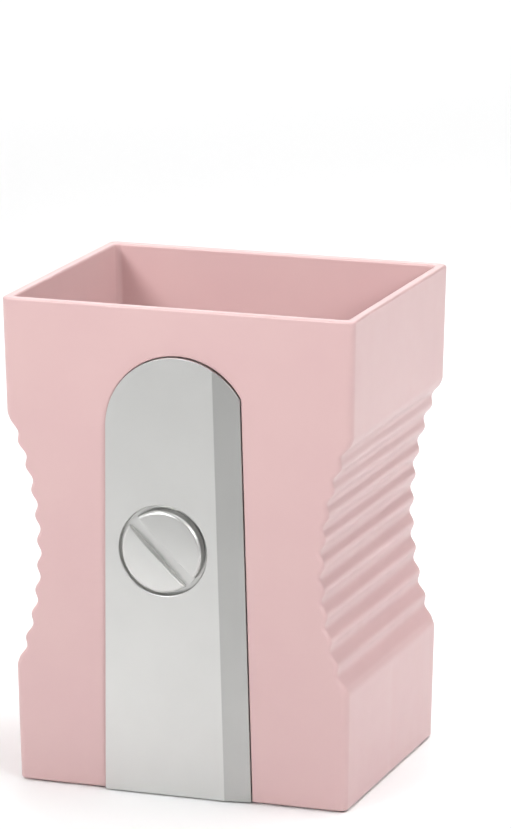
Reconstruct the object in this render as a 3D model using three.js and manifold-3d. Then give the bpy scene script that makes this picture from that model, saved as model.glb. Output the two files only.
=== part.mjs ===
// A pencil pot in the shape of a much enlarged hand-held wedge pencil sharpener.
// Millimetres. +Z is up, the blade plate faces -Y, and the ribbed grips face -X and +X.
// The origin is under the middle of the pot, on the surface that it stands on.
import * as THREE from 'three';
import { mergeVertices } from 'three/addons/utils/BufferGeometryUtils.js';
import Module from 'manifold-3d';

const wasm = await Module();
wasm.setup();

// ---- driving dimensions -------------------------------------------------------------
const GAP = 0.3; // left between touching pieces
const CLEAR = 5; // how far a cutter runs past the piece that it cuts

// outer block
const HEIGHT = 100;
const RIM_HALF_WIDTH = 36.85;
const RIM_HALF_DEPTH = 30.4;
const DRAFT = 0.0205; // each wall leans in by this much per millimetre, going down
const CORNER_RADIUS = 1.5;
const EDGE_RADIUS = 0.5;
const WALL = 2;
const SKIRT_BOTTOM = 0.3; // the foot pads hold the moulding this far off the table

// grips: a round concave arc in each side, with a cosine wave of ribs along it
const WAIST_HALF_WIDTH = 30.08;
const WAIST_HEIGHT = 49.8;
const GRIP_RADIUS = 64.2;
const GRIP_LEAN = 0.012;
const RIB_PITCH = 5.083;
const RIB_AMPLITUDE = 0.433;
const MIDDLE_RIB = 0.67; // the middle rib's crest, along the arc from the waist
const RIBS_EACH_WAY = 5; // from the middle rib to the last crest above and below it
const STEPS_PER_RIB = 8;
const GRIP_TOP = 75.85; // where the grips run out into the straight blocks
const GRIP_BOTTOM = 24.7;

// inside of the pot and its hollow base
const FLOOR_TOP = 12;
const FLOOR_BOTTOM = 10;
const CAVITY_CORNER_RADIUS = 1.2;
const WAIST_WALL = WAIST_HALF_WIDTH - RIB_AMPLITUDE - WALL; // half the width inside it
const POCKET_TOP_WIDTH = 1;
const POCKET_RIB_THICKNESS = 1.6;

// blade plate, in the plane of the front face
const PLATE_RADIUS = 15;
const PLATE_ARC_X = 0.25;
const PLATE_ARC_HEIGHT = 75.4;
const PLATE_LEFT_FLARE = 0.0147; // the straight edges spread by this much per millimetre
const PLATE_RIGHT_FLARE = 0.02;
const PLATE_RIGHT_X = 13.3; // where the arc meets the straight right edge
const PLATE_RIGHT_RISE = Math.sqrt(PLATE_RADIUS ** 2 - (PLATE_RIGHT_X - PLATE_ARC_X) ** 2);
const PLATE_BOTTOM = SKIRT_BOTTOM;
const PLATE_PROUD = 0.8;
const PLATE_THICKNESS = 2.6;
const BEVEL_WIDTH = 5.45;
const BEVEL_DROP = 0.65;
const RECESS_MARGIN = 0.5;
const RECESS_DEPTH = PLATE_THICKNESS - PLATE_PROUD + GAP;
const BACKING_DEPTH = RECESS_DEPTH + WALL;

// blade screw, and the pillar inside the front wall that takes its shank
const SCREW_X = -2.95;
const SCREW_HEIGHT = 51.05;
const COUNTERBORE_RADIUS = 9.3;
const COUNTERBORE_DEPTH = 1.5;
const COUNTERBORE_FLOOR = COUNTERBORE_DEPTH - PLATE_PROUD; // depths from the front face
const SCREW_HEAD_BACK = COUNTERBORE_FLOOR - GAP;
const SCREW_HEAD_RADIUS = 8.4;
const SCREW_HEAD_SIDE = 1.85;
const SCREW_DOME = 0.85;
const SCREW_SHANK_RADIUS = 2.5;
const SCREW_SHANK_LENGTH = 5.4;
const SCREW_TIP = 1;
const SLOT_WIDTH = 2.7;
const SLOT_DEPTH = 1.6;
const PILLAR_RADIUS = 4.6;
const PILLAR_CAP = 1.2;

// base cover, its screws, and the foot pads over them
const COVER_BOTTOM = 1;
const COVER_TOP = 3.4;
const COVER_BOSS_RADIUS = 4.6;
const COVER_BOSS_TOP = 5.4;
const PAD_RADIUS = 5.5;
const PAD_THICKNESS = 1.3;
const FASTENER_X = 22;
const FASTENER_Y = 18;
const COVER_SCREW_HEAD_RADIUS = 2.6;
const COVER_SCREW_HEAD_HEIGHT = 1.3;
const COVER_SCREW_SHANK_RADIUS = 1.4;
const COVER_SCREW_SHANK_LENGTH = 5.2;
const COVER_SCREW_TIP = 1;
const BODY_BOSS_RADIUS = 3.4;
const PAD_SEAT = PAD_THICKNESS + GAP; // the heads start level with the pads' seats
const COVER_SCREW_SEAT = PAD_SEAT + COVER_SCREW_HEAD_HEIGHT + GAP;

// ---- materials ----------------------------------------------------------------------
function material(color, roughness, metalness) {
  return new THREE.MeshStandardMaterial({ color, roughness, metalness });
}

// ---- solids and geometries ----------------------------------------------------------
function solid(geometry) {
  const bare = geometry.clone();
  bare.deleteAttribute('normal');
  bare.deleteAttribute('uv');
  const merged = mergeVertices(bare, 1e-4);
  return new wasm.Manifold(new wasm.Mesh({
    numProp: 3,
    vertProperties: new Float32Array(merged.attributes.position.array),
    triVerts: new Uint32Array(merged.index.array),
  }));
}

function pieceMesh(name, manifold, pieceMaterial) {
  const { vertProperties, triVerts } = manifold.getMesh();
  const geometry = new THREE.BufferGeometry();
  geometry.setAttribute('position', new THREE.BufferAttribute(vertProperties, 3));
  geometry.setIndex(new THREE.BufferAttribute(triVerts, 1));
  const mesh = new THREE.Mesh(geometry, pieceMaterial);
  mesh.name = name;
  return mesh;
}

// an outline in X and Y, made into a prism from low to high along Z
function standingPrism(shape, low, high, curveSegments = 16, steps = 1) {
  const options = { depth: high - low, bevelEnabled: false, curveSegments, steps };
  return new THREE.ExtrudeGeometry(shape, options).translate(0, 0, low);
}

// an outline in X and Z, made into a prism from low to high along Y
function lyingPrism(shape, low, high, curveSegments = 16) {
  const options = { depth: high - low, bevelEnabled: false, curveSegments };
  return new THREE.ExtrudeGeometry(shape, options).rotateX(Math.PI / 2).translate(0, high, 0);
}

function circle(x, y, radius) {
  const shape = new THREE.Shape();
  shape.absarc(x, y, radius, 0, 2 * Math.PI);
  return shape;
}

// an upright round bar
function bar(radius, x, y, low, high) {
  return solid(standingPrism(circle(x, y, radius), low, high));
}

function roundedRectangle(halfWidth, halfDepth, radius) {
  const shape = new THREE.Shape();
  for (let quarter = 0; quarter < 4; quarter += 1) {
    const start = quarter * (Math.PI / 2);
    const alongX = quarter === 0 || quarter === 3 ? 1 : -1;
    const alongY = quarter < 2 ? 1 : -1;
    const x = alongX * (halfWidth - radius);
    const y = alongY * (halfDepth - radius);
    shape.absarc(x, y, radius, start, start + Math.PI / 2);
  }
  return shape;
}

// a stack of rounded rectangles, one at each level, whose sizes follow two functions of z
function ringStack(levels, halfWidthAt, halfDepthAt, radius) {
  const nominal = 2 * radius;
  const steps = levels.length - 1;
  const shape = roundedRectangle(nominal, nominal, radius);
  const geometry = standingPrism(shape, 0, steps, 2, steps);
  const position = geometry.attributes.position;
  for (let i = 0; i < position.count; i += 1) {
    const x = position.getX(i);
    const y = position.getY(i);
    const z = levels[Math.round(position.getZ(i))];
    const widen = Math.sign(x) * (halfWidthAt(z) - nominal);
    const deepen = Math.sign(y) * (halfDepthAt(z) - nominal);
    position.setXYZ(i, x + widen, y + deepen, z);
  }
  return solid(geometry);
}

// ---- the block's own surfaces -------------------------------------------------------
const blockHalfWidth = (z) => RIM_HALF_WIDTH - (HEIGHT - z) * DRAFT;
const blockHalfDepth = (z) => RIM_HALF_DEPTH - (HEIGHT - z) * DRAFT;

// how far the grip's arc has come out at this height
function arcSag(z) {
  const above = z - WAIST_HEIGHT;
  return GRIP_RADIUS - Math.sqrt(GRIP_RADIUS ** 2 - above ** 2);
}

// the ribs stop at the last crest each way, and the arc runs on to the block
function gripHalfWidth(z) {
  const above = z - WAIST_HEIGHT;
  const along = GRIP_RADIUS * Math.asin(above / GRIP_RADIUS) - MIDDLE_RIB;
  const ribs = THREE.MathUtils.clamp(along / RIB_PITCH, -RIBS_EACH_WAY, RIBS_EACH_WAY);
  const wave = RIB_AMPLITUDE * Math.cos(2 * Math.PI * ribs);
  return WAIST_HALF_WIDTH + arcSag(z) + wave + GRIP_LEAN * above;
}

// how far a rounded edge has drawn in, this far from the end of the piece
function edgeRound(distance) {
  if (distance >= EDGE_RADIUS) return 0;
  return EDGE_RADIUS - Math.sqrt(EDGE_RADIUS ** 2 - (EDGE_RADIUS - distance) ** 2);
}

function outerHalfWidth(z) {
  const inGrip = z > GRIP_BOTTOM && z < GRIP_TOP;
  const side = inGrip ? Math.min(blockHalfWidth(z), gripHalfWidth(z)) : blockHalfWidth(z);
  return side - edgeRound(HEIGHT - z) - edgeRound(z - SKIRT_BOTTOM);
}

function outerHalfDepth(z) {
  return blockHalfDepth(z) - edgeRound(HEIGHT - z) - edgeRound(z - SKIRT_BOTTOM);
}

// the pot narrows with the grips down to the waist, and then goes straight down
function cavityHalfWidth(z) {
  const side = blockHalfWidth(z) - WALL;
  const waist = WAIST_WALL + (z > WAIST_HEIGHT ? arcSag(z) : (z - WAIST_HEIGHT) * DRAFT);
  return Math.min(side, waist) + edgeRound(HEIGHT - z);
}

const cavityHalfDepth = (z) => blockHalfDepth(z) - WALL + edgeRound(HEIGHT - z);

// levels from low to high, rounded edges included
function edgeLevels(end, direction) {
  const shares = [0, 0.13, 0.5, 1];
  return shares.map((share) => end + direction * share * EDGE_RADIUS);
}

function gripLevels() {
  const levels = [];
  const count = RIBS_EACH_WAY * STEPS_PER_RIB;
  for (let step = -count; step <= count; step += 1) {
    const along = MIDDLE_RIB + (step * RIB_PITCH) / STEPS_PER_RIB;
    levels.push(WAIST_HEIGHT + GRIP_RADIUS * Math.sin(along / GRIP_RADIUS));
  }
  return [GRIP_BOTTOM, ...levels, GRIP_TOP];
}

// ---- the front face: X across, depth along +Y into the pot, and height up the face ---
const FRONT_LEAN = Math.atan(DRAFT);

function onFrontFace() {
  const face = new THREE.Group();
  face.position.set(0, -blockHalfDepth(0), 0);
  face.rotation.x = FRONT_LEAN;
  face.updateMatrix();
  return face;
}

function frontSolid(geometry) {
  return solid(geometry.applyMatrix4(onFrontFace().matrix));
}

// the plate's outline, grown all round, down to a given bottom
function plateOutline(grow, bottom) {
  const radius = PLATE_RADIUS + grow;
  const startAngle = Math.acos((PLATE_RIGHT_X + grow - PLATE_ARC_X) / radius);
  const endAngle = Math.PI - Math.atan(PLATE_LEFT_FLARE);
  const leftDrop = PLATE_ARC_HEIGHT + radius * Math.sin(endAngle) - bottom;
  const leftX = PLATE_ARC_X + radius * Math.cos(endAngle) - PLATE_LEFT_FLARE * leftDrop;
  const shape = new THREE.Shape();
  shape.moveTo(leftX, bottom);
  shape.lineTo(plateRightX(bottom) + grow, bottom);
  shape.absarc(PLATE_ARC_X, PLATE_ARC_HEIGHT, radius, startAngle, endAngle);
  return shape;
}

function plateRightX(height) {
  const drop = PLATE_ARC_HEIGHT + PLATE_RIGHT_RISE - height;
  return PLATE_RIGHT_X + PLATE_RIGHT_FLARE * drop;
}

// the plate's outline as a solid between two depths from the front face
function platePrism(grow, bottom, low, high) {
  return frontSolid(lyingPrism(plateOutline(grow, bottom), low, high));
}

// a round bar on the blade screw's axis, between two depths from the front face
function screwBar(radius, low, high) {
  const bar = new THREE.CylinderGeometry(radius, radius, high - low, 64);
  return frontSolid(bar.translate(SCREW_X, (low + high) / 2, SCREW_HEIGHT));
}

// ---- pot body -----------------------------------------------------------------------
// the front wall is thicker behind the blade plate, where the recess is cut into it
function frontBacking() {
  return platePrism(RECESS_MARGIN + WALL, -CLEAR, -CLEAR, BACKING_DEPTH);
}

// a half-round pillar inside the front wall, up to a round top at the blade screw
function pillar() {
  const back = SCREW_HEAD_BACK + SCREW_SHANK_LENGTH + SCREW_TIP + GAP + PILLAR_CAP;
  const axis = back - PILLAR_RADIUS;
  const column = standingPrism(circle(SCREW_X, axis, PILLAR_RADIUS), 0, SCREW_HEIGHT);
  const top = new THREE.SphereGeometry(PILLAR_RADIUS, 32, 16);
  top.translate(SCREW_X, axis, SCREW_HEIGHT);
  return frontSolid(column).add(frontSolid(top));
}

function potCavity() {
  const levels = [FLOOR_TOP];
  const steps = 10;
  for (let step = 0; step <= steps; step += 1) {
    levels.push(WAIST_HEIGHT + ((GRIP_TOP - WAIST_HEIGHT) * step) / steps);
  }
  levels.push(...edgeLevels(HEIGHT, -1).reverse());
  const cavity = ringStack(levels, cavityHalfWidth, cavityHalfDepth, CAVITY_CORNER_RADIUS);
  return cavity.subtract(frontBacking()).subtract(pillar());
}

// the hollow under the floor, and the wider seat below it that the base cover fills
function underside() {
  const seatHalfWidth = blockHalfWidth(0) - WALL;
  const seatHalfDepth = blockHalfDepth(0) - WALL;
  const seatShape = roundedRectangle(seatHalfWidth, seatHalfDepth, CAVITY_CORNER_RADIUS);
  const hollowShape = roundedRectangle(WAIST_WALL, seatHalfDepth, CAVITY_CORNER_RADIUS);
  const seat = solid(standingPrism(seatShape, -CLEAR, COVER_TOP + GAP, 2));
  const hollow = solid(standingPrism(hollowShape, -CLEAR, FLOOR_BOTTOM, 2));
  let cutter = seat.add(hollow).subtract(frontBacking());
  for (const [x, y] of fastenerPoints()) {
    cutter = cutter.subtract(bar(BODY_BOSS_RADIUS, x, y, COVER_BOSS_TOP + GAP, FLOOR_TOP));
    const pilotTop = PAD_SEAT + coverScrewLength() + GAP;
    cutter = cutter.add(bar(COVER_SCREW_SHANK_RADIUS + GAP, x, y, COVER_BOSS_TOP, pilotTop));
  }
  return cutter;
}

// tall narrow pockets on each side, from below up behind the foot of the grip; a rib at
// mid-depth divides them
function sidePockets() {
  const innerX = WAIST_WALL + WALL;
  const outerX = blockHalfWidth(0) - WALL;
  const topX = innerX + POCKET_TOP_WIDTH;
  const centreX = WAIST_WALL + GRIP_RADIUS;
  const angleAt = (x) => Math.PI + Math.acos((centreX - x) / GRIP_RADIUS);
  const outline = new THREE.Shape();
  outline.moveTo(outerX, COVER_TOP);
  outline.absarc(centreX, WAIST_HEIGHT, GRIP_RADIUS, angleAt(outerX), angleAt(topX), true);
  outline.lineTo(innerX, WAIST_HEIGHT + GRIP_RADIUS * Math.sin(angleAt(topX)));
  outline.lineTo(innerX, COVER_TOP);
  const near = POCKET_RIB_THICKNESS / 2;
  const far = blockHalfDepth(0) - WALL;
  const cutters = [];
  for (const turn of [0, Math.PI]) {
    for (const low of [near, -far]) {
      const geometry = lyingPrism(outline, low, low + far - near, 6);
      cutters.push(solid(geometry.rotateZ(turn)));
    }
  }
  return cutters;
}

function potBody() {
  const levels = [
    ...edgeLevels(SKIRT_BOTTOM, 1),
    ...gripLevels(),
    ...edgeLevels(HEIGHT, -1).reverse(),
  ];
  let body = ringStack(levels, outerHalfWidth, outerHalfDepth, CORNER_RADIUS);
  body = body.subtract(potCavity()).subtract(underside());
  for (const cutter of sidePockets()) body = body.subtract(cutter);
  const pilotEnd = SCREW_HEAD_BACK + SCREW_SHANK_LENGTH + SCREW_TIP + GAP;
  return body
    .subtract(platePrism(RECESS_MARGIN, -CLEAR, -CLEAR, RECESS_DEPTH))
    .subtract(screwBar(SCREW_SHANK_RADIUS + GAP, 0, pilotEnd));
}

// ---- blade plate and its screw --------------------------------------------------------
// a wedge that takes the plate's right side down to the bevel
function bevelCutter() {
  const section = new THREE.Shape();
  section.moveTo(-BEVEL_WIDTH, -PLATE_PROUD);
  section.lineTo(BEVEL_WIDTH, -PLATE_PROUD - CLEAR);
  section.lineTo(BEVEL_WIDTH, 2 * BEVEL_DROP - PLATE_PROUD);
  const wedge = standingPrism(section, -CLEAR, HEIGHT);
  wedge.rotateY(-Math.atan(PLATE_RIGHT_FLARE)).translate(plateRightX(0), 0, 0);
  return frontSolid(wedge);
}

function bladePlate() {
  const back = PLATE_THICKNESS - PLATE_PROUD;
  return platePrism(0, PLATE_BOTTOM, -PLATE_PROUD, back)
    .subtract(bevelCutter())
    .subtract(screwBar(COUNTERBORE_RADIUS, -CLEAR, COUNTERBORE_FLOOR))
    .subtract(screwBar(SCREW_SHANK_RADIUS + GAP, -CLEAR, CLEAR));
}

// a domed head and a plain shank, turned about the Y axis from the dome inwards
function bladeScrew() {
  const edge = SCREW_HEAD_BACK - SCREW_HEAD_SIDE;
  const top = edge - SCREW_DOME;
  const domeRadius = (SCREW_HEAD_RADIUS ** 2 + SCREW_DOME ** 2) / (2 * SCREW_DOME);
  const domeAngle = Math.asin(SCREW_HEAD_RADIUS / domeRadius);
  const shankEnd = SCREW_HEAD_BACK + SCREW_SHANK_LENGTH;
  const profile = [];
  const steps = 8;
  for (let step = 0; step <= steps; step += 1) {
    const angle = (domeAngle * step) / steps;
    const drop = domeRadius * (1 - Math.cos(angle));
    profile.push(new THREE.Vector2(domeRadius * Math.sin(angle), top + drop));
  }
  profile.push(
    new THREE.Vector2(SCREW_HEAD_RADIUS, SCREW_HEAD_BACK),
    new THREE.Vector2(SCREW_SHANK_RADIUS, SCREW_HEAD_BACK),
    new THREE.Vector2(SCREW_SHANK_RADIUS, shankEnd),
    new THREE.Vector2(0, shankEnd + SCREW_TIP),
  );
  const turned = new THREE.LatheGeometry(profile, 64);
  const slotLength = 2 * SCREW_HEAD_RADIUS + CLEAR;
  const slot = new THREE.BoxGeometry(slotLength, SLOT_DEPTH + CLEAR, SLOT_WIDTH);
  slot.translate(0, top + SLOT_DEPTH - (SLOT_DEPTH + CLEAR) / 2, 0).rotateY(Math.PI / 4);
  const screw = frontSolid(turned.translate(SCREW_X, 0, SCREW_HEIGHT));
  return screw.subtract(frontSolid(slot.translate(SCREW_X, 0, SCREW_HEIGHT)));
}

// ---- base cover, its screws and the foot pads -----------------------------------------
function fastenerPoints() {
  const points = [];
  for (const x of [-FASTENER_X, FASTENER_X]) {
    for (const y of [-FASTENER_Y, FASTENER_Y]) points.push([x, y]);
  }
  return points;
}

function coverScrewLength() {
  return COVER_SCREW_HEAD_HEIGHT + COVER_SCREW_SHANK_LENGTH + COVER_SCREW_TIP;
}

function baseCover() {
  const halfWidth = blockHalfWidth(0) - WALL - GAP;
  const halfDepth = blockHalfDepth(0) - WALL - GAP;
  const outline = roundedRectangle(halfWidth, halfDepth, CAVITY_CORNER_RADIUS - GAP);
  const notchGrow = RECESS_MARGIN + WALL + GAP;
  const notch = platePrism(notchGrow, -CLEAR, -CLEAR, BACKING_DEPTH + GAP);
  let cover = solid(standingPrism(outline, COVER_BOTTOM, COVER_TOP, 2)).subtract(notch);
  for (const [x, y] of fastenerPoints()) {
    cover = cover
      .add(bar(COVER_BOSS_RADIUS, x, y, COVER_BOTTOM, COVER_BOSS_TOP))
      .subtract(bar(PAD_RADIUS + GAP, x, y, -CLEAR, PAD_SEAT))
      .subtract(bar(COVER_SCREW_HEAD_RADIUS + GAP, x, y, -CLEAR, COVER_SCREW_SEAT))
      .subtract(bar(COVER_SCREW_SHANK_RADIUS + GAP, x, y, -CLEAR, HEIGHT));
  }
  return cover;
}

// head down, with a cross recess in it
function coverScrew(x, y) {
  const headTop = PAD_SEAT + COVER_SCREW_HEAD_HEIGHT;
  const shankEnd = headTop + COVER_SCREW_SHANK_LENGTH;
  const profile = [
    new THREE.Vector2(0, PAD_SEAT),
    new THREE.Vector2(COVER_SCREW_HEAD_RADIUS, PAD_SEAT),
    new THREE.Vector2(COVER_SCREW_HEAD_RADIUS, headTop),
    new THREE.Vector2(COVER_SCREW_SHANK_RADIUS, headTop),
    new THREE.Vector2(COVER_SCREW_SHANK_RADIUS, shankEnd),
    new THREE.Vector2(0, shankEnd + COVER_SCREW_TIP),
  ];
  let screw = solid(new THREE.LatheGeometry(profile, 24).rotateX(Math.PI / 2).translate(x, y, 0));
  const length = 1.1 * COVER_SCREW_HEAD_RADIUS;
  const width = 0.25 * COVER_SCREW_HEAD_RADIUS;
  const depth = COVER_SCREW_HEAD_HEIGHT;
  for (const [alongX, alongY] of [[length, width], [width, length]]) {
    const recess = new THREE.BoxGeometry(alongX, alongY, depth);
    screw = screw.subtract(solid(recess.translate(x, y, PAD_SEAT)));
  }
  return screw;
}

// ---- the assembly -----------------------------------------------------------------------
const pot = new THREE.Group();
pot.name = 'sharpener_pencil_pot';
pot.add(pieceMesh('pot_body', potBody(), material(0xe8c4c4, 0.36, 0)));
pot.add(pieceMesh('blade_plate', bladePlate(), material(0xc6c7c5, 0.4, 0)));
pot.add(pieceMesh('blade_screw', bladeScrew(), material(0xc6c7c5, 0.4, 0)));
pot.add(pieceMesh('base_cover', baseCover(), material(0xe3bcbc, 0.45, 0)));
fastenerPoints().forEach(([x, y], index) => {
  const screwMaterial = material(0xaeb0b2, 0.3, 1);
  const padMaterial = material(0xf1eeea, 0.9, 0);
  pot.add(pieceMesh(`cover_screw_${index + 1}`, coverScrew(x, y), screwMaterial));
  pot.add(pieceMesh(`foot_pad_${index + 1}`, bar(PAD_RADIUS, x, y, 0, PAD_THICKNESS), padMaterial));
});

export default pot;
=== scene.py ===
"""Looks for a pencil pot shaped like a much enlarged wedge pencil sharpener.

The shapes are worked out in millimetres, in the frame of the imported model, and made into
metres when a mesh is built. +Z is up and the blade plate faces -Y.
"""
import math

import bmesh
import bpy
from mathutils import Matrix, Vector


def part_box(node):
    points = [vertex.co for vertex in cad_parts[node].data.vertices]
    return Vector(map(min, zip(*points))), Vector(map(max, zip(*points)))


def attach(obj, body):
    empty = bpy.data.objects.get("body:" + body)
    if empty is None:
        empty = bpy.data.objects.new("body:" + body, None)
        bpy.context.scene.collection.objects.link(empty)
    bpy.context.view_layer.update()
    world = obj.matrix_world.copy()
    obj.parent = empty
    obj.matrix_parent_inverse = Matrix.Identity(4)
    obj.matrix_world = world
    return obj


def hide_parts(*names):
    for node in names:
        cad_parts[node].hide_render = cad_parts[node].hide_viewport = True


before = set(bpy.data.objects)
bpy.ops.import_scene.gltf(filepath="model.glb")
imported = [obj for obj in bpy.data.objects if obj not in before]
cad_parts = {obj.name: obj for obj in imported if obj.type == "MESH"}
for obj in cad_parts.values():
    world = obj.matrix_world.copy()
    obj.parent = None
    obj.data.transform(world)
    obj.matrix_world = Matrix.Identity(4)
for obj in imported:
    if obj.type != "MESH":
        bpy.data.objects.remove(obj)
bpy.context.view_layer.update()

MM = 0.001
CLEAR = 4.0  # how far a cutter runs past what it cuts


def node_box(name):
    """A node's lowest and highest corners, in millimetres."""
    low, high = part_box(name)
    return low / MM, high / MM


body_low, body_high = node_box("pot_body")
plate_low = node_box("blade_plate")[0]
screw_low, screw_high = node_box("blade_screw")

# ---- driving dimensions ---------------------------------------------------------------
HEIGHT = body_high.z
SKIRT_BOTTOM = body_low.z
DRAFT = 0.0205  # each wall leans in by this much per millimetre, going down
RIM_HALF_WIDTH = 0.5 * (body_high.x - body_low.x)
RIM_HALF_DEPTH = 0.5 * (body_high.y - body_low.y)
WALL = 2.0
EDGE_RADIUS = 0.5
BLOCK_CORNER_RADIUS = 1.5
RIB_CORNER_RADIUS = 0.9

# grips: a round concave arc in each side, with a cosine wave of ribs along it
WAIST_HEIGHT = 49.8
WAIST_HALF_WIDTH = 29.9
GRIP_RADIUS = 64.2
GRIP_LEAN = 0.012
RIB_PITCH = 5.083
RIB_AMPLITUDE = 0.433
MIDDLE_RIB = 0.67
RIBS_EACH_WAY = 5
STEPS_PER_RIB = 20
GRIP_BOTTOM = 24.6
GRIP_TOP = 76.0
BLEND = 0.25  # how softly the grip's arc runs out into the block

# hollow base and the inside of the pot
FLOOR_TOP = 12.0
FLOOR_BOTTOM = 10.0
INNER_CORNER_RADIUS = 1.2
WAIST_WALL = WAIST_HALF_WIDTH - RIB_AMPLITUDE - WALL
INSIDE_BLEND = 1.5
SEAT_DEPTH = 1.7  # how far the base cover's seat goes up past one wall thickness
SINK_DEPTH = 0.07
SINK_HALF_WIDTH = 1.6

# blade plate, in the plane of the front face
PLATE_RADIUS = 15.0
PLATE_ARC_X = 0.25
PLATE_ARC_HEIGHT = 75.4
PLATE_LEFT_FLARE = 0.0147
PLATE_RIGHT_FLARE = 0.02
PLATE_RIGHT_X = 13.3
PLATE_RIGHT_RISE = math.sqrt(PLATE_RADIUS**2 - (PLATE_RIGHT_X - PLATE_ARC_X) ** 2)
PLATE_LEAN = 0.02  # the leaning plate's front lip hangs about this far below its bottom line
PLATE_BOTTOM = plate_low.z + PLATE_LEAN
PLATE_PROUD = 0.8
PLATE_THICKNESS = 2.6
PLATE_EDGE = 0.5
BEVEL_WIDTH = 5.45
BEVEL_DROP = 0.65
# painted shade: the bevel's silver is multiplied by this factor to stand in for the darker
# reflection of its tilt
BEVEL_PAINTED_SHADE = 0.75
RECESS_MARGIN = 0.15
RECESS_DEPTH = 2.1
RECESS_EDGE = 0.3
BACKING_DEPTH = RECESS_DEPTH + WALL
ARC_STEPS = 72

# blade screw and the pillar behind it
SCREW_X = 0.5 * (screw_low.x + screw_high.x)
SCREW_HEIGHT = 0.5 * (screw_low.z + screw_high.z)
HEAD_RADIUS = 0.5 * (screw_high.x - screw_low.x)
HEAD_BACK = 0.4
HEAD_SIDE = 2.1
HEAD_DOME = 0.6
HEAD_EDGE = 0.8
SHANK_RADIUS = 2.5
SHANK_LENGTH = 5.4
SHANK_TIP = 1.0
SHANK_HOLE_RADIUS = SHANK_RADIUS + 0.3
PILOT_DEPTH = 7.1
SLOT_WIDTH = 2.7
SLOT_DEPTH = 1.6
SLOT_EDGE = 0.22
COUNTERBORE_RADIUS = 9.2
COUNTERBORE_FLOOR = 0.7
COUNTERBORE_EDGE = 0.3
PILLAR_RADIUS = 4.6
PILLAR_DEPTH = 8.3

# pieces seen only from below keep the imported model's shape, with their edges rounded
UNDERSIDE_EDGE = 0.2

STAGE_REACH = 4.0  # metres from the middle of the floor to its edge

# camera: in front, a little to the right and a little above
CAMERA_AZIMUTH = math.radians(19.57)
CAMERA_ELEVATION = math.radians(13.16)
CAMERA_ROLL = math.radians(-0.07)
CAMERA_DISTANCE = 1015.75
CAMERA_AIM_RIGHT = 5.51
CAMERA_AIM_UP = 21.68
CAMERA_LENS = 217.2


# ---- meshes ---------------------------------------------------------------------------
def object_from(bm, name):
    """Makes a piece from a bmesh in millimetres."""
    bmesh.ops.recalc_face_normals(bm, faces=bm.faces)
    bmesh.ops.scale(bm, vec=(MM, MM, MM), verts=bm.verts)
    mesh = bpy.data.meshes.new(name)
    bm.to_mesh(mesh)
    bm.free()
    piece = bpy.data.objects.new(name, mesh)
    bpy.context.scene.collection.objects.link(piece)
    return piece


def loft(name, rings, place=Matrix.Identity(4)):
    """A closed solid through rings of points, with a flat cap on its first and last ring."""
    bm = bmesh.new()
    made = [[bm.verts.new(place @ Vector(point)) for point in ring] for ring in rings]
    count = len(made[0])
    for lower, upper in zip(made, made[1:]):
        for i in range(count):
            j = (i + 1) % count
            bm.faces.new((lower[i], lower[j], upper[j], upper[i]))
    bm.faces.new(made[0])
    bm.faces.new(made[-1])
    flat = math.radians(0.02)
    bmesh.ops.dissolve_limit(bm, angle_limit=flat, verts=bm.verts, edges=bm.edges)
    return object_from(bm, name)


def turned(name, profile, place, steps=96):
    """A closed solid of revolution about Y. The profile of (radius, y) starts and ends on it."""
    bm = bmesh.new()
    rings = []
    for radius, y in profile[1:-1]:
        angles = [2 * math.pi * step / steps for step in range(steps)]
        ring = [Vector((radius * math.cos(a), y, radius * math.sin(a))) for a in angles]
        rings.append([bm.verts.new(place @ point) for point in ring])
    for lower, upper in zip(rings, rings[1:]):
        for i in range(steps):
            j = (i + 1) % steps
            bm.faces.new((lower[i], lower[j], upper[j], upper[i]))
    for ring, end in ((rings[0], profile[0]), (rings[-1], profile[-1])):
        tip = bm.verts.new(place @ Vector((0, end[1], 0)))
        for i in range(steps):
            bm.faces.new((ring[i], ring[(i + 1) % steps], tip))
    return object_from(bm, name)


def combine(piece, tool, operation):
    """Cuts the tool from the piece or adds it, and takes the tool away."""
    modifier = piece.modifiers.new("combine", "BOOLEAN")
    modifier.operation = operation
    modifier.solver = "EXACT"
    modifier.object = tool
    apply_modifiers(piece)
    bpy.data.objects.remove(tool)


def cut(piece, tool):
    combine(piece, tool, "DIFFERENCE")


def add(piece, tool):
    combine(piece, tool, "UNION")


def apply_modifiers(piece):
    graph = bpy.context.evaluated_depsgraph_get()
    finished = bpy.data.meshes.new_from_object(piece.evaluated_get(graph))
    piece.modifiers.clear()
    piece.data = finished


def round_edges(piece, width, segments=3, sharper_than=35):
    bevel = piece.modifiers.new("round_edges", "BEVEL")
    bevel.width = width * MM
    bevel.segments = segments
    bevel.limit_method = "ANGLE"
    bevel.angle_limit = math.radians(sharper_than)
    bevel.miter_outer = "MITER_ARC"


def smooth(piece, sharper_than=35):
    """Smooth shading that keeps large flat faces flat, and breaks at sharp edges."""
    mesh = piece.data
    mesh.shade_smooth()
    mesh.set_sharp_from_angle(angle=math.radians(sharper_than))
    weighted = piece.modifiers.new("flat_faces", "WEIGHTED_NORMAL")
    weighted.keep_sharp = True
    weighted.weight = 100


def finish_piece(piece, node, material):
    piece.data.materials.clear()
    piece.data.materials.append(material)
    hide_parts(node)
    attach(piece, "root")


# ---- the block's own surfaces ---------------------------------------------------------
def block_half_width(z):
    return RIM_HALF_WIDTH - (HEIGHT - z) * DRAFT


def block_half_depth(z):
    return RIM_HALF_DEPTH - (HEIGHT - z) * DRAFT


def arc_sag(z):
    """How far the grip's arc has come out at this height."""
    return GRIP_RADIUS - math.sqrt(GRIP_RADIUS**2 - (z - WAIST_HEIGHT) ** 2)


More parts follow.
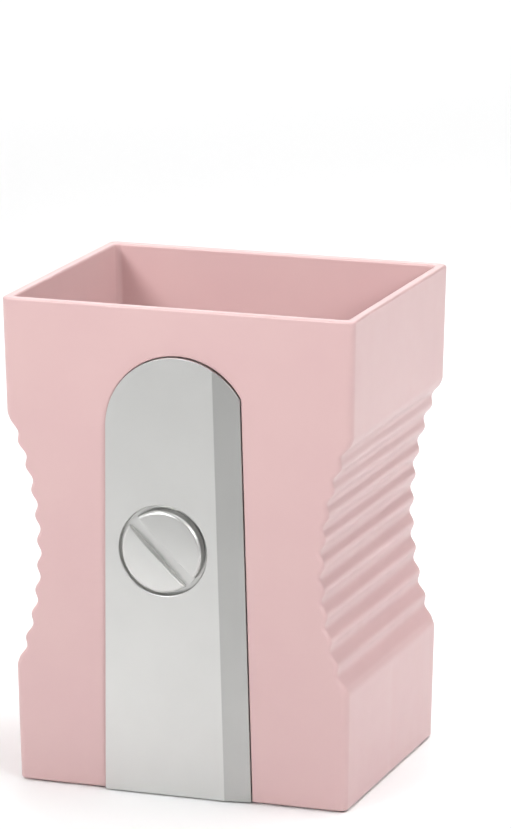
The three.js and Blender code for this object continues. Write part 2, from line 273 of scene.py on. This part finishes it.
def grip_half_width(z):
    """The ribs stop at the last crest each way, and the arc runs on to the block."""
    above = z - WAIST_HEIGHT
    ribs = (GRIP_RADIUS * math.asin(above / GRIP_RADIUS) - MIDDLE_RIB) / RIB_PITCH
    ribs = max(-RIBS_EACH_WAY, min(RIBS_EACH_WAY, ribs))
    wave = RIB_AMPLITUDE * math.cos(2 * math.pi * ribs)
    return WAIST_HALF_WIDTH + arc_sag(z) + wave + GRIP_LEAN * above


def soft_minimum(a, b, softness):
    """The smaller of the two, rounded off where they cross."""
    share = max(softness - abs(a - b), 0) / softness
    return min(a, b) - 0.25 * softness * share**2


def edge_round(distance, radius=EDGE_RADIUS):
    """How far a rounded edge has drawn in, this far from the end of the piece."""
    if distance >= radius:
        return 0
    return radius - math.sqrt(radius**2 - (radius - distance) ** 2)


def outer_half_width(z):
    side = block_half_width(z)
    if GRIP_BOTTOM - 2 < z < GRIP_TOP + 2:
        side = soft_minimum(side, grip_half_width(z), BLEND)
    return side - edge_round(HEIGHT - z) - edge_round(z - SKIRT_BOTTOM)


def outer_half_depth(z):
    return block_half_depth(z) - edge_round(HEIGHT - z) - edge_round(z - SKIRT_BOTTOM)


def cavity_half_width(z):
    """The pot narrows with the grips down to the waist, and then goes straight down."""
    waist = WAIST_WALL + (arc_sag(z) if z > WAIST_HEIGHT else (z - WAIST_HEIGHT) * DRAFT)
    side = soft_minimum(block_half_width(z) - WALL, waist, INSIDE_BLEND)
    return side + edge_round(HEIGHT - z)


def cavity_half_depth(z):
    return block_half_depth(z) - WALL + edge_round(HEIGHT - z)


def corner_radius(z):
    """The vertical edges are crisper along the ribs than on the blocks."""
    depth_in = block_half_width(z) - outer_half_width(z) if SKIRT_BOTTOM < z < HEIGHT else 0
    share = min(1, max(0, depth_in - EDGE_RADIUS) / 1.5)
    return BLOCK_CORNER_RADIUS + (RIB_CORNER_RADIUS - BLOCK_CORNER_RADIUS) * share


def sink_mark(y, z):
    """A faint groove down the side of the base, where a rib stands behind the wall."""
    fade = min(1, max(0, (GRIP_BOTTOM - z) / 3))
    return SINK_DEPTH * fade * math.exp(-((y / SINK_HALF_WIDTH) ** 2))


def ring(half_width, half_depth, radius, z, sink=False):
    """A rounded rectangle at one level, anticlockwise from above."""
    points = []
    steps = 6
    for quarter in range(4):
        along_x = 1 if quarter in (0, 3) else -1
        along_y = 1 if quarter < 2 else -1
        x = along_x * (half_width - radius)
        y = along_y * (half_depth - radius)
        for step in range(steps + 1):
            angle = (quarter + step / steps) * math.pi / 2
            points.append((x + radius * math.cos(angle), y + radius * math.sin(angle), z))
        if sink and quarter in (1, 3):
            points.extend(side_points(half_width, -along_x, z))
    return points


def side_points(half_width, towards, z):
    """The points along one side that let the sink mark dip. They run the ring's own way."""
    reach = 3 * SINK_HALF_WIDTH
    steps = 16
    points = []
    for step in range(steps + 1):
        y = towards * reach * (1 - 2 * step / steps)
        points.append((-towards * (half_width - sink_mark(y, z)), y, z))
    return points


# ---- the front face: X across, depth along +Y into the pot, height up the face --------
front = Matrix.Translation((0, -block_half_depth(0), 0)) @ Matrix.Rotation(
    math.atan(DRAFT), 4, "X"
)
screw_axis = front @ Matrix.Translation((SCREW_X, 0, SCREW_HEIGHT))


def plate_right_x(height):
    return PLATE_RIGHT_X + PLATE_RIGHT_FLARE * (PLATE_ARC_HEIGHT + PLATE_RIGHT_RISE - height)


def plate_ring(grow, bottom, depth):
    """The plate's outline at one depth from the front face, grown all round."""
    radius = PLATE_RADIUS + grow
    start = math.acos((PLATE_RIGHT_X + grow - PLATE_ARC_X) / radius)
    end = math.pi - math.atan(PLATE_LEFT_FLARE)
    left_top = PLATE_ARC_HEIGHT + radius * math.sin(end)
    left_x = PLATE_ARC_X + radius * math.cos(end) - PLATE_LEFT_FLARE * (left_top - bottom)
    points = [(left_x, depth, bottom), (plate_right_x(bottom) + grow, depth, bottom)]
    for step in range(ARC_STEPS + 1):
        angle = start + (end - start) * step / ARC_STEPS
        x = PLATE_ARC_X + radius * math.cos(angle)
        points.append((x, depth, PLATE_ARC_HEIGHT + radius * math.sin(angle)))
    return points


def mouth(radius, steps=6):
    """(growth, depth) down a rounded lip, from the front face to the straight wall."""
    angles = [math.pi / 2 * (1 - step / steps) for step in range(steps + 1)]
    return [(radius * (1 - math.cos(a)), radius * (1 - math.sin(a))) for a in angles]


# ---- pot body -------------------------------------------------------------------------
def edge_levels(end, direction):
    """Levels through a rounded edge, from the end of the piece inwards."""
    angles = [math.pi / 2 * step / 6 for step in range(7)]
    return [end + direction * EDGE_RADIUS * (1 - math.cos(a)) for a in angles]


def evenly(low, high, steps):
    return [low + (high - low) * step / steps for step in range(steps + 1)]


def outer_levels():
    last = (RIBS_EACH_WAY + 0.5) * RIB_PITCH
    steps = int(2 * last / RIB_PITCH * STEPS_PER_RIB)
    grip = evenly(MIDDLE_RIB - last, MIDDLE_RIB + last, steps)
    levels = [WAIST_HEIGHT + GRIP_RADIUS * math.sin(s / GRIP_RADIUS) for s in grip]
    below = evenly(GRIP_BOTTOM - 4, levels[0] - 0.5, 4)
    return edge_levels(SKIRT_BOTTOM, 1) + below + levels + edge_levels(HEIGHT, -1)[::-1]


def cavity_levels():
    rim = edge_levels(HEIGHT, -1)[::-1]
    return [FLOOR_TOP] + evenly(WAIST_HEIGHT, GRIP_TOP + 4, 30) + rim + [HEIGHT + CLEAR]


def cavity():
    rings = []
    for z in cavity_levels():
        level = min(z, HEIGHT)
        size = cavity_half_width(level), cavity_half_depth(level)
        rings.append(ring(*size, INNER_CORNER_RADIUS, z))
    hollow = loft("cavity", rings)
    cut(hollow, backing())
    cut(hollow, pillar())
    return hollow


def backing():
    """The front wall is thicker behind the blade plate, where the recess is cut into it."""
    grow = RECESS_MARGIN + WALL
    lip = [(grow - g, BACKING_DEPTH - d) for g, d in mouth(EDGE_RADIUS)]
    profile = [(grow, -CLEAR)] + lip[::-1]
    return loft("backing", [plate_ring(g, -CLEAR, d) for g, d in profile], front)


def pillar():
    """A half-round pillar up the inside of the front wall, with a round top."""
    axis = front @ Matrix.Translation((SCREW_X, PILLAR_DEPTH - PILLAR_RADIUS, 0))
    levels = [(PILLAR_RADIUS, 0)]
    for step in range(12):
        angle = math.pi / 2 * step / 12
        rise = SCREW_HEIGHT + PILLAR_RADIUS * math.sin(angle)
        levels.append((PILLAR_RADIUS * math.cos(angle), rise))
    rings = []
    for radius, z in levels:
        angles = [2 * math.pi * step / 48 for step in range(48)]
        rings.append([(radius * math.cos(a), radius * math.sin(a), z) for a in angles])
    return loft("pillar", rings, axis)


def recess():
    lip = [(RECESS_MARGIN + g, d) for g, d in mouth(RECESS_EDGE)]
    profile = [(lip[0][0], -CLEAR)] + lip + [(RECESS_MARGIN, RECESS_DEPTH)]
    return loft("recess", [plate_ring(g, -CLEAR, d) for g, d in profile], front)


def underside():
    """The hollow base, with the seat that the base cover fills."""
    depth = block_half_depth(0) - WALL
    width = block_half_width(0) - WALL
    seat_top = WALL + SEAT_DEPTH
    seat = [ring(width, depth, INNER_CORNER_RADIUS, z) for z in (-CLEAR, seat_top)]
    hollow = [ring(WAIST_WALL, depth, INNER_CORNER_RADIUS, z) for z in (0, FLOOR_BOTTOM)]
    tool = loft("seat", seat)
    add(tool, loft("hollow", hollow))
    cut(tool, backing())
    return tool


def pot_body(material):
    levels = outer_levels()
    rings = []
    for z in levels:
        size = outer_half_width(z), outer_half_depth(z)
        rings.append(ring(*size, corner_radius(z), z, sink=True))
    body = loft("pot_body_looks", rings)
    cut(body, cavity())
    cut(body, underside())
    cut(body, recess())
    profile = [(0, 0), (SHANK_HOLE_RADIUS, 0), (SHANK_HOLE_RADIUS, PILOT_DEPTH), (0, PILOT_DEPTH)]
    cut(body, turned("pilot", profile, screw_axis))
    smooth(body)
    finish_piece(body, "pot_body", material)


# ---- blade plate and its screw ----------------------------------------------------------
def bevel_wedge():
    section = [
        (-BEVEL_WIDTH, -PLATE_PROUD),
        (BEVEL_WIDTH, -PLATE_PROUD - CLEAR),
        (BEVEL_WIDTH, 2 * BEVEL_DROP - PLATE_PROUD),
    ]
    rings = []
    for z in (-CLEAR, HEIGHT):
        x = plate_right_x(z)
        rings.append([(x + u, depth, z) for u, depth in section])
    return loft("wedge", rings, front)


def counterbore():
    lip = [(COUNTERBORE_RADIUS + g, d - PLATE_PROUD) for g, d in mouth(COUNTERBORE_EDGE)]
    bottom = [(COUNTERBORE_RADIUS, COUNTERBORE_FLOOR), (0, COUNTERBORE_FLOOR)]
    return turned("counterbore", [(0, -CLEAR), (lip[0][0], -CLEAR)] + lip + bottom, screw_axis)


def blade_plate(material):
    back = PLATE_THICKNESS - PLATE_PROUD
    rings = [plate_ring(0, PLATE_BOTTOM, depth) for depth in (-PLATE_PROUD, back)]
    plate = loft("blade_plate_looks", rings, front)
    cut(plate, bevel_wedge())
    round_edges(plate, PLATE_EDGE, 4)
    apply_modifiers(plate)
    cut(plate, counterbore())
    profile = [(0, -CLEAR), (SHANK_HOLE_RADIUS, -CLEAR), (SHANK_HOLE_RADIUS, CLEAR), (0, CLEAR)]
    cut(plate, turned("shank_hole", profile, screw_axis))
    smooth(plate)
    finish_piece(plate, "blade_plate", material)


def dome_depth(radius):
    """The depth of the screw head's domed face, this far from its axis."""
    edge = HEAD_BACK - HEAD_SIDE
    ball = (HEAD_RADIUS**2 + HEAD_DOME**2) / (2 * HEAD_DOME)
    return edge - HEAD_DOME + ball - math.sqrt(ball**2 - radius**2)


def head_profile():
    """(radius, depth) from the top of the dome round its edge to the back of the head."""
    inner = HEAD_RADIUS - HEAD_EDGE
    points = [(r, dome_depth(r)) for r in evenly(0, inner, 20)]
    shoulder = dome_depth(inner)
    for step in range(1, 9):
        angle = math.pi / 2 * step / 8
        drop = (1 - math.cos(angle)) * HEAD_EDGE
        points.append((inner + HEAD_EDGE * math.sin(angle), shoulder + drop))
    return points + [(HEAD_RADIUS, HEAD_BACK)]


def slot_cutter():
    """A straight slot whose mouth is rounded and follows the dome."""
    half = SLOT_WIDTH / 2
    bottom = dome_depth(0) + SLOT_DEPTH
    rings = []
    for along in evenly(-HEAD_RADIUS - 1, HEAD_RADIUS + 1, 60):
        reach = min(math.hypot(along, half), HEAD_RADIUS)
        face = dome_depth(reach)
        lip = [(half + g, face + d) for g, d in mouth(SLOT_EDGE)]
        side = [(lip[0][0], face - CLEAR)] + lip + [(half, bottom)]
        other = [(-u, depth) for u, depth in side[::-1]]
        rings.append([(along, depth, u) for u, depth in side + other])
    turn = Matrix.Rotation(math.radians(45), 4, "Y")
    return loft("slot", rings, screw_axis @ turn)


def blade_screw(material):
    shank_end = HEAD_BACK + SHANK_LENGTH
    shank = [(SHANK_RADIUS, HEAD_BACK), (SHANK_RADIUS, shank_end), (0, shank_end + SHANK_TIP)]
    screw = turned("blade_screw_looks", head_profile() + shank, screw_axis)
    cut(screw, slot_cutter())
    smooth(screw)
    finish_piece(screw, "blade_screw", material)


# ---- materials --------------------------------------------------------------------------
def new_material(name):
    material = bpy.data.materials.new(name)
    material.use_nodes = True
    return material, material.node_tree.nodes, material.node_tree.links


def noise(nodes, links, size, detail=3.0):
    """Noise whose features are about this many millimetres across."""
    place = nodes.new("ShaderNodeTexCoord")
    texture = nodes.new("ShaderNodeTexNoise")
    texture.inputs["Scale"].default_value = 1 / (size * MM)
    texture.inputs["Detail"].default_value = detail
    links.new(place.outputs["Object"], texture.inputs["Vector"])
    return texture.outputs["Fac"]


def spread(nodes, links, source, low, high):
    """Maps a noise's middle range to run from low to high."""
    mapped = nodes.new("ShaderNodeMapRange")
    mapped.inputs["From Min"].default_value = 0.3
    mapped.inputs["From Max"].default_value = 0.7
    mapped.inputs["To Min"].default_value = low
    mapped.inputs["To Max"].default_value = high
    links.new(source, mapped.inputs["Value"])
    return mapped.outputs["Result"]


def colour_between(nodes, links, factor, first, second):
    mix = nodes.new("ShaderNodeMix")
    mix.data_type = "RGBA"
    mix.inputs["A"].default_value = (*first, 1)
    mix.inputs["B"].default_value = (*second, 1)
    links.new(factor, mix.inputs["Factor"])
    return mix.outputs["Result"]


def bumps(nodes, links, layers):
    """Bump from several noises, each (size, height) in millimetres."""
    normal = None
    for size, height in layers:
        bump = nodes.new("ShaderNodeBump")
        bump.inputs["Distance"].default_value = height * MM
        links.new(noise(nodes, links, size), bump.inputs["Height"])
        if normal:
            links.new(normal, bump.inputs["Normal"])
        normal = bump.outputs["Normal"]
    return normal


def moulded(name, first, second, roughness, layers, **constants):
    """A shader with a slow change of colour, a change of roughness, and fine relief."""
    material, nodes, links = new_material(name)
    shader = nodes["Principled BSDF"]
    clouds = spread(nodes, links, noise(nodes, links, 14), 0, 1)
    colour = colour_between(nodes, links, clouds, first, second)
    links.new(colour, shader.inputs["Base Color"])
    patches = spread(nodes, links, noise(nodes, links, 5), roughness - 0.03, roughness + 0.03)
    links.new(patches, shader.inputs["Roughness"])
    links.new(bumps(nodes, links, layers), shader.inputs["Normal"])
    for socket, value in constants.items():
        shader.inputs[socket.replace("_", " ")].default_value = value
    return material


def srgb(red, green, blue):
    """A screen colour as the linear one that a shader takes."""
    return tuple(((c / 255 + 0.055) / 1.055) ** 2.4 for c in (red, green, blue))


def silver_paint(name):
    return moulded(
        name,
        srgb(215, 215, 213),
        srgb(211, 211, 209),
        0.38,
        [(0.25, 0.002), (1.6, 0.004)],
        Metallic=1,
    )


def plate_paint():
    """The same silver, with painted shade on the bevel: its colour is darkened to stand in for the
    darker reflection that the tilted bevel shows.
    """
    material = silver_paint("plate_paint")
    nodes, links = material.node_tree.nodes, material.node_tree.links
    shader = nodes["Principled BSDF"]
    colour = shader.inputs["Base Color"].links[0].from_socket
    # painted shade: darkens the base colour on the bevel only
    bevel_painted_shade = colour_between(nodes, links, right_of_bevel(nodes, links), (1, 1, 1), (BEVEL_PAINTED_SHADE,) * 3)
    darker = nodes.new("ShaderNodeMix")
    darker.data_type = "RGBA"
    darker.blend_type = "MULTIPLY"
    darker.inputs["Factor"].default_value = 1
    links.new(colour, darker.inputs["A"])
    links.new(bevel_painted_shade, darker.inputs["B"])
    links.new(darker.outputs["Result"], shader.inputs["Base Color"])
    return material


def right_of_bevel(nodes, links):
    """0 on the plate's flat face and 1 on its bevel."""
    place = nodes.new("ShaderNodeTexCoord")
    across = nodes.new("ShaderNodeVectorMath")
    across.operation = "DOT_PRODUCT"
    across.inputs[1].default_value = (1, 0, PLATE_RIGHT_FLARE)
    links.new(place.outputs["Object"], across.inputs[0])
    line = (plate_right_x(0) - BEVEL_WIDTH) * MM
    mapped = nodes.new("ShaderNodeMapRange")
    mapped.inputs["From Min"].default_value = line
    mapped.inputs["From Max"].default_value = line + 0.1 * MM
    links.new(across.outputs["Value"], mapped.inputs["Value"])
    return mapped.outputs["Result"]


# ---- light, floor and camera --------------------------------------------------------------
def softbox(name, place, aim, size, watts, beam=180):
    """A lamp in metres and watts. A narrow beam in degrees lights one part of the scene."""
    light = bpy.data.lights.new(name, "AREA")
    light.shape = "RECTANGLE"
    light.size, light.size_y = size
    light.energy = watts
    light.spread = math.radians(beam)
    lamp = bpy.data.objects.new(name, light)
    lamp.location = place
    lamp.rotation_euler = (Vector(aim) - Vector(place)).to_track_quat("-Z", "Y").to_euler()
    bpy.context.scene.collection.objects.link(lamp)


def studio():
    softbox("left", (-1.2, -0.2, 0.4), (0, 0, 0.05), (0.9, 0.9), 4)
    softbox("front", (-0.35, -0.8, 0.55), (0, 0.03, 0.15), (0.3, 0.2), 0.24, beam=30)
    softbox("front_right", (0.7, -0.6, 0.55), (0, 0.02, 0.15), (0.3, 0.3), 0.2, beam=30)
    softbox("right", (1.3, 0.2, 0.7), (0, 0, 0.05), (0.9, 0.7), 3)
    softbox("overhead", (0.3, 0.1, 1.2), (0, 0, 0.05), (0.6, 0.6), 7.2)
    softbox("floor_left", (-0.5, -0.1, 1.0), (-0.4, -0.1, 0), (0.3, 0.3), 0.6, beam=50)
    softbox("floor_right", (0.2, 0.4, 1.1), (0.15, 0.3, 0), (0.3, 0.3), 0.3, beam=45)
    softbox("back_left", (-0.5, 1.3, 0.9), (-0.2, 0.7, 0), (0.9, 0.7), 10)
    world = bpy.data.worlds.new("studio")
    world.use_nodes = True
    background = world.node_tree.nodes["Background"]
    background.inputs["Color"].default_value = (1, 1, 1, 1)
    background.inputs["Strength"].default_value = 0.17
    scene = bpy.context.scene
    scene.world = world
    scene.view_settings.view_transform = "Standard"


def floor():
    bm = bmesh.new()
    corners = [(-1, -1), (1, -1), (1, 1), (-1, 1)]
    bm.faces.new([bm.verts.new((x * STAGE_REACH, y * STAGE_REACH, 0)) for x, y in corners])
    mesh = bpy.data.meshes.new("floor")
    bm.to_mesh(mesh)
    bm.free()
    plane = bpy.data.objects.new("floor", mesh)
    bpy.context.scene.collection.objects.link(plane)
    material, nodes = new_material("white_sweep")[:2]
    shader = nodes["Principled BSDF"]
    shader.inputs["Base Color"].default_value = (0.92, 0.92, 0.92, 1)
    shader.inputs["Roughness"].default_value = 0.9
    mesh.materials.append(material)


def camera():
    sin_a, cos_a = math.sin(CAMERA_AZIMUTH), math.cos(CAMERA_AZIMUTH)
    sin_e, cos_e = math.sin(CAMERA_ELEVATION), math.cos(CAMERA_ELEVATION)
    back = Vector((sin_a * cos_e, -cos_a * cos_e, sin_e))
    right = Vector((cos_a, sin_a, 0))
    up = back.cross(right)
    aim = Vector((0, 0, HEIGHT / 2)) + CAMERA_AIM_RIGHT * right + CAMERA_AIM_UP * up
    data = bpy.data.cameras.new("camera")
    data.sensor_width = 36
    data.lens = CAMERA_LENS
    data.clip_end = 10
    lens = bpy.data.objects.new("camera", data)
    turn = Matrix((right, up, back)).transposed().to_4x4()
    place = Matrix.Translation((aim + CAMERA_DISTANCE * back) * MM)
    lens.matrix_world = place @ turn @ Matrix.Rotation(CAMERA_ROLL, 4, "Z")
    bpy.context.scene.collection.objects.link(lens)
    bpy.context.scene.camera = lens


camera()
studio()
floor()
pink = moulded(
    "pink_plastic",
    srgb(207, 174, 173),
    srgb(205, 171, 171),
    0.33,
    [(0.35, 0.003), (2.5, 0.006)],
)
cover_pink = moulded(
    "cover_plastic",
    srgb(210, 178, 178),
    srgb(207, 175, 175),
    0.5,
    [(0.4, 0.01)],
)
foam = moulded("pad_foam", srgb(240, 238, 233), srgb(232, 229, 223), 0.9, [(0.3, 0.05)])
steel = moulded(
    "cover_screw_steel",
    srgb(176, 178, 180),
    srgb(168, 170, 173),
    0.3,
    [(0.3, 0.002)],
    Metallic=1,
)
pot_body(pink)
blade_plate(plate_paint())
blade_screw(silver_paint("screw_paint"))
for prefix, finish in {"base_cover": cover_pink, "foot_pad": foam, "cover_screw": steel}.items():
    for name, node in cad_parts.items():
        if name.startswith(prefix):
            node.data.materials.clear()
            node.data.materials.append(finish)
            round_edges(node, UNDERSIDE_EDGE)
